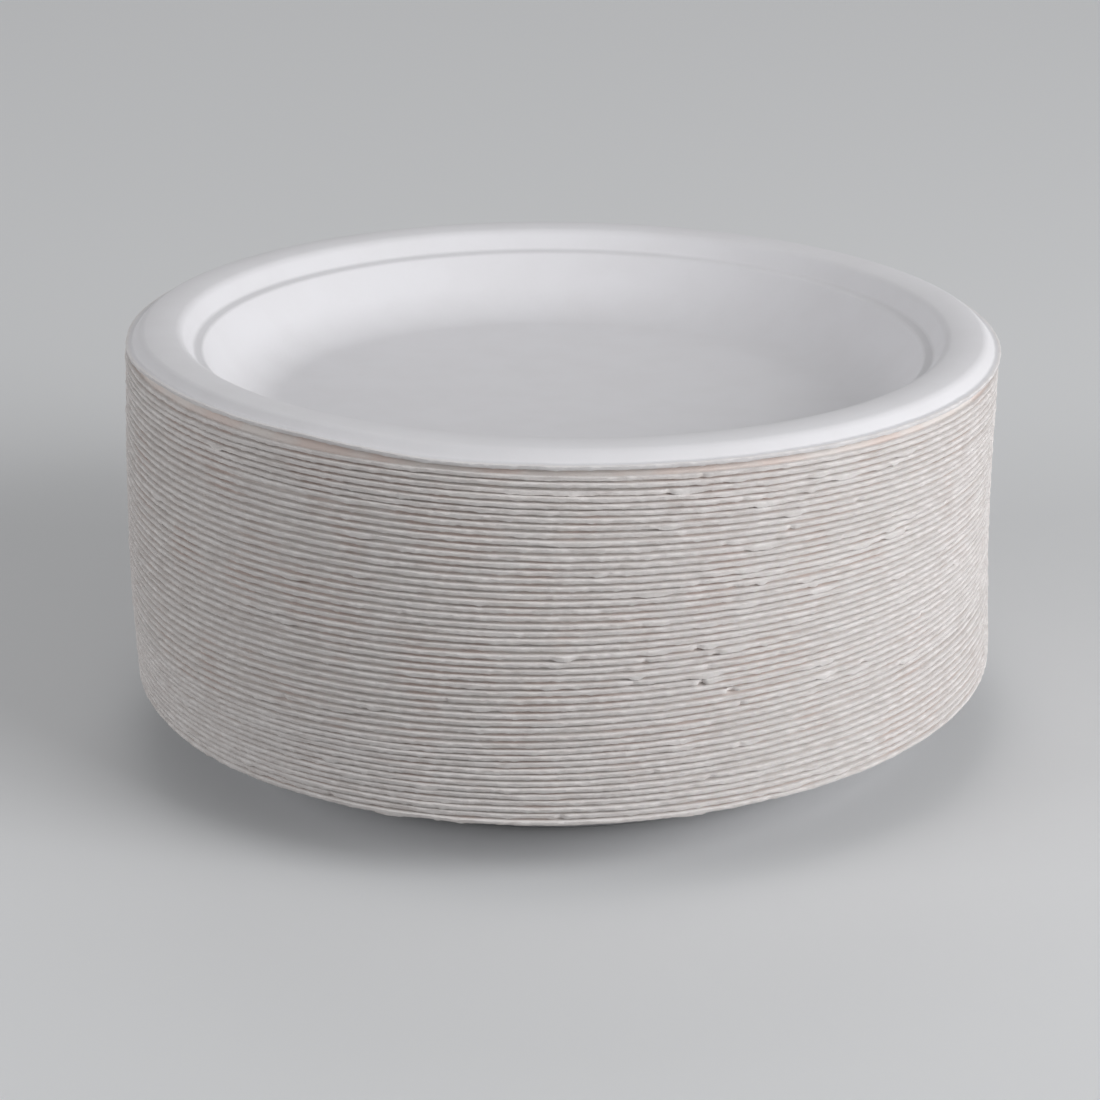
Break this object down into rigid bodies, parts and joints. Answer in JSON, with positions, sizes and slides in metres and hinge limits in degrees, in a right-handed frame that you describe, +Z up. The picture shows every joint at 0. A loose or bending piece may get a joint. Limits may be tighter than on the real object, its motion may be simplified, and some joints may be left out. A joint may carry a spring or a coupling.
{
  "type": "stack of round moulded-pulp plates",
  "caption": "Round off-white disposable plates of pressed plant fibre with domed rims, nested in a tall, slightly leaning stack",
  "frame": {"origin": "centre of the lowest plate's flat underside", "axes": "+Z up through the stack, +X to the right and -Y towards the viewer of the picture"},
  "size_m": [0.263, 0.2633, 0.1293],
  "materials": {
    "moulded_pulp": "matte, fine fibre texture"
  },
  "bodies": {
    "root": {"plate_01": "moulded_pulp", "plate_02": "moulded_pulp", "plate_03": "moulded_pulp", "plate_04": "moulded_pulp", "plate_05": "moulded_pulp", "plate_06": "moulded_pulp", "plate_07": "moulded_pulp", "plate_08": "moulded_pulp", "plate_09": "moulded_pulp", "plate_10": "moulded_pulp", "plate_11": "moulded_pulp", "plate_12": "moulded_pulp", "plate_13": "moulded_pulp", "plate_14": "moulded_pulp", "plate_15": "moulded_pulp", "plate_16": "moulded_pulp", "plate_17": "moulded_pulp", "plate_18": "moulded_pulp", "plate_19": "moulded_pulp", "plate_20": "moulded_pulp", "plate_21": "moulded_pulp", "plate_22": "moulded_pulp", "plate_23": "moulded_pulp", "plate_24": "moulded_pulp", "plate_25": "moulded_pulp", "plate_26": "moulded_pulp", "plate_27": "moulded_pulp", "plate_28": "moulded_pulp", "plate_29": "moulded_pulp", "plate_30": "moulded_pulp", "plate_31": "moulded_pulp", "plate_32": "moulded_pulp", "plate_33": "moulded_pulp", "plate_34": "moulded_pulp", "plate_35": "moulded_pulp", "plate_36": "moulded_pulp", "plate_37": "moulded_pulp", "plate_38": "moulded_pulp", "plate_39": "moulded_pulp", "plate_40": "moulded_pulp", "plate_41": "moulded_pulp", "plate_42": "moulded_pulp", "plate_43": "moulded_pulp", "plate_44": "moulded_pulp", "plate_45": "moulded_pulp", "plate_46": "moulded_pulp", "plate_47": "moulded_pulp", "plate_48": "moulded_pulp", "plate_49": "moulded_pulp", "plate_50": "moulded_pulp"}
  },
  "joints": []
}
